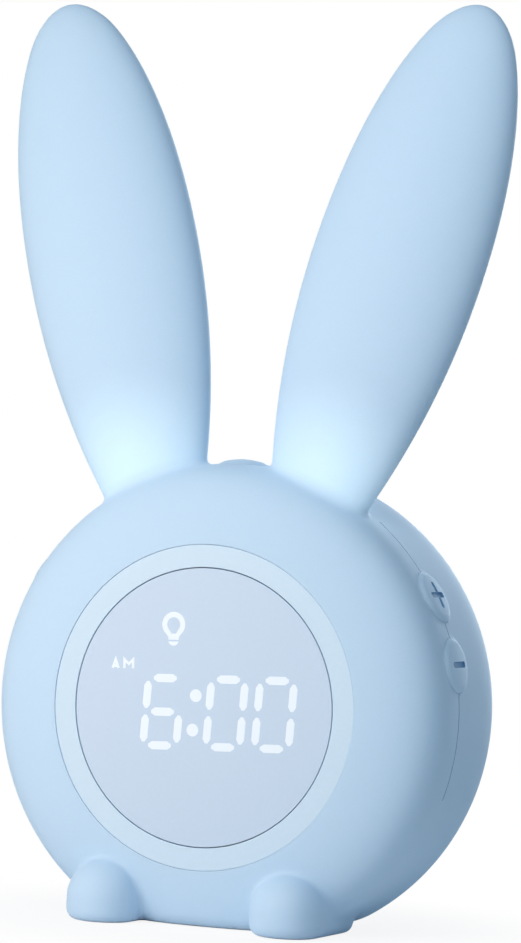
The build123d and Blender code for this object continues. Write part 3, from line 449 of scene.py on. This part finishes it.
def seam_cutter(first, last):
    """A thin arc of square section along the parting line."""
    count = max(2, int((last - first) / SEAM_STEP))
    half, deep, clear = SEAM_WIDTH / 2, BODY_RADIUS - SEAM_DEEP, BODY_RADIUS + SEAM_CLEAR
    section = ((-half, deep), (half, deep), (half, clear), (-half, clear))
    vertices, faces = [], [(0, 1, 2, 3)]
    for i in range(count + 1):
        turn = radians(first + (last - first) * i / count)
        vertices += [(r * cos(turn), y, r * sin(turn)) for y, r in section]
    for i in range(count):
        for j in range(4):
            k = (j + 1) % 4
            faces.append((4 * i + k, 4 * i + j, 4 * i + 4 + j, 4 * i + 4 + k))
    faces.append(tuple(4 * count + j for j in reversed(range(4))))
    return new_object("seam", np.array(vertices) + np.array(BUTTON_CENTRE), faces)


def outer_form():
    """The whole outside of sleeve and buttons as one closed mesh."""
    bumps = [button_bump(key) for key in BUTTONS]
    shapes = [pebble(), ear(-1), ear(1), foot(-1), foot(1), *bumps]
    form = new_object("rabbit_sleeve", *joined(shapes))
    remesh = form.modifiers.new("remesh", "REMESH")
    remesh.mode = "VOXEL"
    remesh.voxel_size = VOXEL * MM
    even = form.modifiers.new("even", "SMOOTH")
    even.iterations = EVEN_ROUNDS
    apply_modifiers(form)
    points = np.zeros(len(form.data.vertices) * 3)
    form.data.vertices.foreach_get("co", points)
    points = settle(points.reshape(-1, 3) / MM)
    points[:, 2] = np.maximum(points[:, 2], 0)
    form.data.vertices.foreach_set("co", (points * MM).ravel())
    return form


def open_sleeve(skin):
    """Hollow the outer form and cut its openings and parting line."""
    cut(skin, new_object("hollow", *pebble(SKIN)))
    for side in (-1, 1):
        cut(skin, new_object("ear_hollow", *ear(side, SKIN)))
    front = Matrix.Translation(CENTRE) @ Matrix.Rotation(radians(90), 4, "X")
    rear = Matrix.Translation(CENTRE) @ Matrix.Rotation(radians(-90), 4, "X")
    cut(skin, plug(FRONT_OPENING, RING_FACE + FACE_MARGIN, front))
    cut(skin, plug(REAR_OPENING, COVER_FACE + FACE_MARGIN, rear))
    start, stop = BODY_RADIUS - 2 * SKIN, BODY_RADIUS + HOLE_CLEAR
    for angle, radius, _, _ in BUTTONS.values():
        cut(skin, rod(radius + BUTTON_PLAY, start, stop, spoke_matrix(angle)))
    for first, last in SEAM_ARCS:
        cut(skin, seam_cutter(first, last))
    smooth_shading(skin)


def slab(length, width, low, high):
    """A bar with round ends, its length along local X."""
    turns = np.linspace(-pi / 2, pi / 2, SIGN_STEPS)
    half = (length - width) / 2
    end = [(half + width / 2 * cos(t), width / 2 * sin(t)) for t in turns]
    outline = end + [(-x, -y) for x, y in end]
    count = len(outline)
    vertices = np.array([(x, y, z) for z in (low, high) for x, y in outline])
    faces = [tuple(range(count))[::-1], tuple(range(count, 2 * count))]
    faces += [(i, (i + 1) % count, count + (i + 1) % count, count + i) for i in range(count)]
    return vertices, faces


def band(inner, outer, low, high):
    """A flat ring about local Z."""
    count = SIGN_SEGMENTS
    turns = np.linspace(0, 2 * pi, count, endpoint=False)
    corners = ((inner, low), (outer, low), (outer, high), (inner, high))
    vertices = np.array([(r * cos(t), r * sin(t), z) for r, z in corners for t in turns])
    faces = []
    for i in range(4):
        a, b = i * count, (i + 1) % 4 * count
        pairs = [(j, (j + 1) % count) for j in range(count)]
        faces += [(a + j, a + k, b + k, b + j) for j, k in pairs]
    return vertices, faces


def sign_cutters(key):
    """What sinks a button's sign into its head, in the axes of its spoke."""
    low = BODY_RADIUS + BUTTONS[key][2] - SIGN_DEEP
    span = (low, low + SIGN_CLEAR)
    if key == "plus":
        vertices, faces = slab(*PLUS_UPRIGHT, *span)
        upright = Matrix.Rotation(radians(90), 4, "Z")
        return [slab(*SIGN_BAR, *span), (placed(vertices, upright), faces)]
    if key == "minus":
        return [slab(*SIGN_BAR, *span)]
    if key == "alarm":
        return [band(*ALARM_RING, *span)]
    if key == "mode":
        return [slab(MODE_DOT, MODE_DOT, *span)]
    return []


def button_cap(form, key):
    """The part of the outer form that a button is, on its stem, with its sign sunk in."""
    angle, radius, _, _ = BUTTONS[key]
    matrix = spoke_matrix(angle)
    cap = form.copy()
    cap.data = form.data.copy()
    cap.name = key + "_cap"
    bpy.context.scene.collection.objects.link(cap)
    combine(cap, rod(radius, HEAD_BASE, BODY_RADIUS + HEAD_CLEAR, matrix), "INTERSECT")
    stem = [
        (0, STEM_END), (STEM_FLANGE, STEM_END), (STEM_FLANGE, STEM_FLANGE_TOP),
        (STEM_RADIUS, STEM_FLANGE_TOP), (STEM_RADIUS, STEM_TOP), (0, STEM_TOP),
    ]
    vertices, faces = revolved(stem, STEM_SEGMENTS)
    combine(cap, new_object("stem", placed(vertices, matrix), faces), "UNION")
    for vertices, faces in sign_cutters(key):
        cut(cap, new_object("sign", placed(vertices, matrix), faces))
    smooth_shading(cap)
    return cap


def face_middles(thing):
    middles = np.zeros(len(thing.data.polygons) * 3)
    thing.data.polygons.foreach_get("center", middles)
    return middles.reshape(-1, 3) / MM


def paint(thing, faces):
    """Give the chosen faces the second material."""
    for face in np.flatnonzero(faces):
        thing.data.polygons[int(face)].material_index = 1


def sunk_faces(cap, key):
    """Which faces of a cap lie in its sign."""
    angle, radius, _, _ = BUTTONS[key]
    middles = face_middles(cap)
    x, y, z = placed(middles, spoke_matrix(angle).inverted()).T
    on_head = (np.hypot(x, y) < radius - SIGN_EDGE) & (z > BODY_RADIUS - SIGN_DEEP)
    return on_head & (sleeve_distance(middles) < -SUNK_SIGN)


def seam_faces(skin):
    """Which faces of the sleeve lie in its parting line."""
    middles = face_middles(skin)
    x, y, z = (middles - np.array(BUTTON_CENTRE)).T
    depth = BODY_RADIUS - np.hypot(x, z)
    across = np.abs(y) < SEAM_WIDTH / 2 + SLACK
    deep = np.abs(depth - SEAM_DEEP / 2) < SEAM_DEEP / 2 + SLACK
    return across & deep & (sleeve_distance(middles) < -SUNK_SEAM)


# ---- materials -----------------------------------------------------------------------------
def srgb(red, green, blue):
    """A colour written as 0 to 255, as Blender's linear values."""
    shares = [value / 255 for value in (red, green, blue)]
    linear = [s / 12.92 if s <= 0.04 else ((s + 0.055) / 1.055) ** 2.4 for s in shares]
    return (*linear, 1)


def node(tree, kind, inputs=None, **settings):
    """A shader node whose inputs are sockets to link or values to set."""
    made = tree.nodes.new(kind)
    for name, value in settings.items():
        setattr(made, name, value)
    for name, value in (inputs or {}).items():
        if isinstance(value, bpy.types.NodeSocket):
            tree.links.new(value, made.inputs[name])
        else:
            made.inputs[name].default_value = value
    return made


def maths(tree, operation, first, second=None):
    """The result of a sum on sockets or numbers."""
    made = node(tree, "ShaderNodeMath", operation=operation)
    for socket, value in zip(made.inputs, (first, second)):
        if isinstance(value, bpy.types.NodeSocket):
            tree.links.new(value, socket)
        elif value is not None:
            socket.default_value = value
    return made.outputs[0]


def faded(tree, value, start, stop, first=0, last=1):
    """Runs softly from first to last while the value runs from start to stop."""
    inputs = {"Value": value, "From Min": start, "From Max": stop, "To Min": first, "To Max": last}
    fade = node(tree, "ShaderNodeMapRange", inputs, interpolation_type="SMOOTHSTEP")
    return fade.outputs["Result"]


def mixed(tree, factor, first, second):
    """The colour between two others."""
    mix = node(tree, "ShaderNodeMix", {"Factor": factor}, data_type="RGBA")
    for socket, colour in zip([s for s in mix.inputs if s.type == "RGBA"], (first, second)):
        socket.default_value = colour
    return [s for s in mix.outputs if s.type == "RGBA"][0]


GRAIN_DETAIL = 3.0
GLOSS_SPREAD = 0.04
RELIEF_HEIGHT = 0.05  # of the grain, at a bump of 1


def surface(name, dark, light, size, roughness, bump=0.0, **finish):
    """A moulded or printed surface: grain of the given size in mm, between two colours."""
    material = bpy.data.materials.new(name)
    material.use_nodes = True
    tree = material.node_tree
    shader = tree.nodes["Principled BSDF"]
    place = node(tree, "ShaderNodeTexCoord").outputs["Object"]
    inputs = {"Vector": place, "Scale": 1 / (size * MM), "Detail": GRAIN_DETAIL}
    grain = node(tree, "ShaderNodeTexNoise", inputs).outputs["Fac"]
    tree.links.new(mixed(tree, grain, dark, light), shader.inputs["Base Color"])
    low, high = roughness - GLOSS_SPREAD, roughness + GLOSS_SPREAD
    gloss = node(tree, "ShaderNodeMapRange", {"Value": grain, "To Min": low, "To Max": high})
    tree.links.new(gloss.outputs["Result"], shader.inputs["Roughness"])
    if bump:
        inputs = {"Height": grain, "Strength": bump, "Distance": RELIEF_HEIGHT * MM}
        relief = node(tree, "ShaderNodeBump", inputs)
        tree.links.new(relief.outputs["Normal"], shader.inputs["Normal"])
    for socket, value in finish.items():
        shader.inputs[socket.replace("_", " ")].default_value = value
    return material


# The glow at the ear roots is painted light: emission in the silicone that stands in for the light
# inside the ears.
GLOW_SPOT = (22.0, -9.0, 50.0)  # brightest place of the lit ears, from the body centre
GLOW_REACH = 23.5
GLOW_EDGE = 2.5  # to either side of the body's outline, where the glow starts
GLOW_COLOUR = srgb(215, 244, 250)
GLOW_STRENGTH = 0.26
BLACK = (0, 0, 0, 1)


def silicone(name, glowing):
    """Soft matt silicone; for the sleeve, with a painted glow at the roots of its ears for the
    light inside them.
    """
    material = surface(
        name, srgb(193, 222, 246), srgb(200, 227, 249), 0.35, 0.62, bump=0.12,
        Subsurface_Weight=0.12, Subsurface_Scale=3 * MM, Sheen_Weight=0.12, Sheen_Roughness=0.5,
        Specular_IOR_Level=0.35,
    )
    tree = material.node_tree
    shader = tree.nodes["Principled BSDF"]
    shader.inputs["Subsurface Radius"].default_value = (0.6, 0.8, 1.0)
    shader.inputs["Sheen Tint"].default_value = srgb(225, 240, 255)
    if not glowing:
        return material
    place = node(tree, "ShaderNodeTexCoord").outputs["Object"]
    parts = node(tree, "ShaderNodeSeparateXYZ", {"Vector": place}).outputs
    mirrored = maths(tree, "ABSOLUTE", parts["X"])
    inputs = {"X": mirrored, "Y": parts["Y"], "Z": parts["Z"]}
    folded = node(tree, "ShaderNodeCombineXYZ", inputs).outputs["Vector"]
    inputs = {0: folded, 1: (CENTRE + Vector(GLOW_SPOT)) * MM}
    distance = node(tree, "ShaderNodeVectorMath", inputs, operation="DISTANCE").outputs["Value"]
    near = faded(tree, distance, 0, GLOW_REACH * MM, 1, 0)
    height = maths(tree, "SUBTRACT", parts["Z"], CENTRE.z * MM)
    squares = [maths(tree, "POWER", value, 2) for value in (mirrored, height)]
    radial = maths(tree, "SQRT", maths(tree, "ADD", *squares))
    start, stop = (BODY_RADIUS - GLOW_EDGE) * MM, (BODY_RADIUS + GLOW_EDGE) * MM
    lit = maths(tree, "MULTIPLY", near, faded(tree, radial, start, stop))
    tree.links.new(mixed(tree, lit, BLACK, GLOW_COLOUR), shader.inputs["Emission Color"])
    shader.inputs["Emission Strength"].default_value = GLOW_STRENGTH
    return material


def lit_window(name, colour, strength):
    material = surface(name, colour, colour, 0.5, 0.4)
    shader = material.node_tree.nodes["Principled BSDF"]
    shader.inputs["Emission Color"].default_value = colour
    shader.inputs["Emission Strength"].default_value = strength
    return material


PLAIN_SURFACES = {  # name, its two colours, size of its grain, roughness, bump and metal
    "ring_plastic": ("pale_ring", (202, 227, 244), (208, 231, 247), 0.6, 0.42, 0.05, 0),
    "lens_plastic": ("smoked_lens", (196, 217, 237), (201, 221, 240), 0.8, 0.35, 0.02, 0),
    "milky_plastic": ("milky_guide", (232, 240, 246), (240, 246, 250), 0.8, 0.4, 0.05, 0),
    "white_abs": ("white_abs", (222, 226, 230), (230, 234, 238), 0.5, 0.5, 0.15, 0),
    "circuit_board": ("green_board", (18, 74, 42), (30, 104, 58), 1.2, 0.45, 0.2, 0),
    "led_chip": ("led_chip", (236, 232, 190), (244, 240, 206), 0.3, 0.35, 0.05, 0),
    "black_plastic": ("black_plastic", (24, 24, 26), (36, 36, 39), 0.3, 0.5, 0.2, 0),
    "socket_nylon": ("socket_nylon", (226, 222, 208), (236, 232, 220), 0.5, 0.5, 0.1, 0),
    "bare_metal": ("bare_metal", (176, 178, 182), (200, 202, 206), 0.4, 0.3, 0.1, 1),
    "screw_steel": ("screw_steel", (150, 152, 156), (182, 184, 188), 0.3, 0.3, 0.1, 1),
    "battery_wrap": ("battery_wrap", (38, 92, 160), (48, 108, 178), 1.5, 0.35, 0.05, 0),
    "paper_cone": ("paper_cone", (52, 50, 48), (74, 70, 66), 0.25, 0.8, 0.5, 0),
    "magnet": ("magnet", (120, 122, 126), (146, 148, 152), 0.4, 0.4, 0.2, 1),
    "foam": ("foam", (40, 40, 42), (64, 64, 66), 0.6, 0.9, 0.8, 0),
    "lead_sheath": ("lead_sheath", (168, 36, 34), (188, 48, 44), 0.8, 0.5, 0.1, 0),
    # painted shade: the sunk signs are coloured darker than the silicone, where shade falls in
    # them
    "sign_paint": ("sign_paint", (128, 172, 208), (134, 178, 214), 0.3, 0.6, 0.1, 0),
    # painted shade: the groove of the parting line is coloured darker, where shade falls in it
    "seam_shade": ("seam_shade", (160, 192, 218), (168, 200, 226), 0.3, 0.6, 0.1, 0),
}

MATERIALS = {
    "silicone": silicone("blue_silicone", True),
    "button_silicone": silicone("blue_button_silicone", False),
    "lit_window": lit_window("lit_figures", srgb(230, 241, 249), 0.1),
}
for slot, (name, dark, light, grain, roughness, bump, metal) in PLAIN_SURFACES.items():
    MATERIALS[slot] = surface(
        name, srgb(*dark), srgb(*light), grain, roughness, bump, Metallic=metal
    )

NODE_SLOT = {part["node"]: part["material_slot"] for part in frame["record"]["subparts"]}


def dress(thing, material):
    """Give every slot of a piece the same material."""
    if not thing.data.materials:
        thing.data.materials.append(material)
    for i in range(len(thing.data.materials)):
        thing.data.materials[i] = material


for name, thing in frame["nodes"].items():
    dress(thing, MATERIALS[NODE_SLOT[name]])

sleeve = outer_form()
for key in BUTTONS:
    cap = button_cap(sleeve, key)
    cap.data.materials.clear()
    cap.data.materials.append(MATERIALS["button_silicone"])
    # The second material is painted shade, darker in the sunk sign where shade falls.
    cap.data.materials.append(MATERIALS["sign_paint"])
    paint(cap, sunk_faces(cap, key))
    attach(cap, key + "_key")
    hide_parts(key + "_button")
open_sleeve(sleeve)
dress(sleeve, MATERIALS["silicone"])
# The groove of the parting line gets painted shade, a darker silicone colour.
sleeve.data.materials.append(MATERIALS["seam_shade"])
paint(sleeve, seam_faces(sleeve))
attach(sleeve, "clock")
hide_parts("silicone_skin")


# ---- camera, floor and light ---------------------------------------------------------------
VIEW_AZIMUTH = 23.211  # degrees to the right of straight ahead
VIEW_ELEVATION = 2.9
VIEW_DISTANCE = 927.3
VIEW_ROLL = 2.771
AIM = (3.05, 50.24)  # right of the body centre and above it, as the camera sees it
LENS, SENSOR = 165.45, 36.0

FLOOR_HALF = 4000.0
FLOOR_COLOUR = (0.86, 0.88, 0.9, 1)
FLOOR_WHITE = ((0.03, 0.88), (0.09, 1.0))  # metres from the clock's middle, and how white there
SKY_COLOUR = (0.55, 0.80, 1.0, 1)
SKY_STRENGTH = 0.25
WHITE = (1, 1, 1, 1)

LIT_SPOT = Vector((0, 0, 0.09))  # where the lamps point, in metres
LAMPS = {  # place in metres, side, power in watts and colour
    "key": ((-0.589, -1.020, 0.639), 0.7, 6.3, (1.0, 0.90, 0.81)),
    "back": ((0, 1.272, 0.360), 0.7, 7.5, (0.82, 0.92, 1.0)),
    "near_front": ((-0.065, -0.242, 0.160), 0.2, 0.056, (0.71, 0.95, 1.0)),
    "near_left": ((-0.100, -0.173, 0.080), 0.15, 0.098, (1.0, 0.73, 0.60)),
    "near_top": ((0.103, -0.282, 0.350), 0.2, 0.326, (0.92, 0.92, 1.0)),
}


def add_camera():
    turn, rise = radians(VIEW_AZIMUTH), radians(VIEW_ELEVATION)
    away = Vector((sin(turn) * cos(rise), -cos(turn) * cos(rise), sin(rise)))
    right = (-away).cross(Vector((0, 0, 1))).normalized()
    up = right.cross(-away)
    place = CENTRE + away * VIEW_DISTANCE
    aim = CENTRE + right * AIM[0] + up * AIM[1]
    data = bpy.data.cameras.new("photo_camera")
    data.lens = LENS
    data.sensor_width = SENSOR
    data.clip_start = 0.01
    camera = bpy.data.objects.new("photo_camera", data)
    look = (aim - place).to_track_quat("-Z", "Y").to_matrix().to_4x4()
    roll = Matrix.Rotation(radians(VIEW_ROLL), 4, "Z")
    camera.matrix_world = Matrix.Translation(place * MM) @ look @ roll
    bpy.context.scene.collection.objects.link(camera)
    bpy.context.scene.camera = camera


def area_light(name, place, side, power, colour):
    """A square soft lamp that faces the middle of the clock."""
    data = bpy.data.lights.new(name, "AREA")
    data.size = side
    data.energy = power
    data.color = colour
    lamp = bpy.data.objects.new(name, data)
    lamp.location = place
    lamp.rotation_euler = (LIT_SPOT - Vector(place)).to_track_quat("-Z", "Y").to_euler()
    lamp.visible_camera = False
    bpy.context.scene.collection.objects.link(lamp)


def paint_world():
    """Pale blue light from all round, white where it is seen directly or in a reflection."""
    world = bpy.data.worlds.new("studio")
    bpy.context.scene.world = world
    world.use_nodes = True
    tree = world.node_tree
    tree.nodes.clear()
    path = node(tree, "ShaderNodeLightPath").outputs
    seen = maths(tree, "MAXIMUM", path["Is Camera Ray"], path["Is Transmission Ray"])
    seen = maths(tree, "MAXIMUM", seen, path["Is Glossy Ray"])
    soft = node(tree, "ShaderNodeBackground", {"Color": SKY_COLOUR, "Strength": SKY_STRENGTH})
    white = node(tree, "ShaderNodeBackground", {"Color": WHITE, "Strength": 1.0})
    both = node(tree, "ShaderNodeMixShader", {0: seen, 1: soft.outputs[0], 2: white.outputs[0]})
    node(tree, "ShaderNodeOutputWorld", {"Surface": both.outputs[0]})


def add_floor():
    """A wide white floor; seen directly it is white but for the soft shadow near the clock."""
    half = FLOOR_HALF
    corners = [(-half, -half, 0), (half, -half, 0), (half, half, 0), (-half, half, 0)]
    floor = new_object("floor", corners, [(0, 1, 2, 3)])
    material = bpy.data.materials.new("white_floor")
    material.use_nodes = True
    tree = material.node_tree
    tree.nodes.clear()
    place = node(tree, "ShaderNodeTexCoord").outputs["Object"]
    length = node(tree, "ShaderNodeVectorMath", {0: place}, operation="LENGTH").outputs["Value"]
    (near, near_white), (far, far_white) = FLOOR_WHITE
    white_share = faded(tree, length, near, far, near_white, far_white)
    direct = node(tree, "ShaderNodeLightPath").outputs["Is Camera Ray"]
    seen = maths(tree, "MULTIPLY", white_share, direct)
    matt = node(tree, "ShaderNodeBsdfDiffuse", {"Color": FLOOR_COLOUR})
    white = node(tree, "ShaderNodeEmission", {"Color": WHITE, "Strength": 1.0})
    both = node(tree, "ShaderNodeMixShader", {0: seen, 1: matt.outputs[0], 2: white.outputs[0]})
    node(tree, "ShaderNodeOutputMaterial", {"Surface": both.outputs[0]})
    dress(floor, material)


add_camera()
paint_world()
add_floor()
for name, (place, side, power, colour) in LAMPS.items():
    area_light(name, place, side, power, colour)
bpy.context.scene.view_settings.view_transform = "Standard"
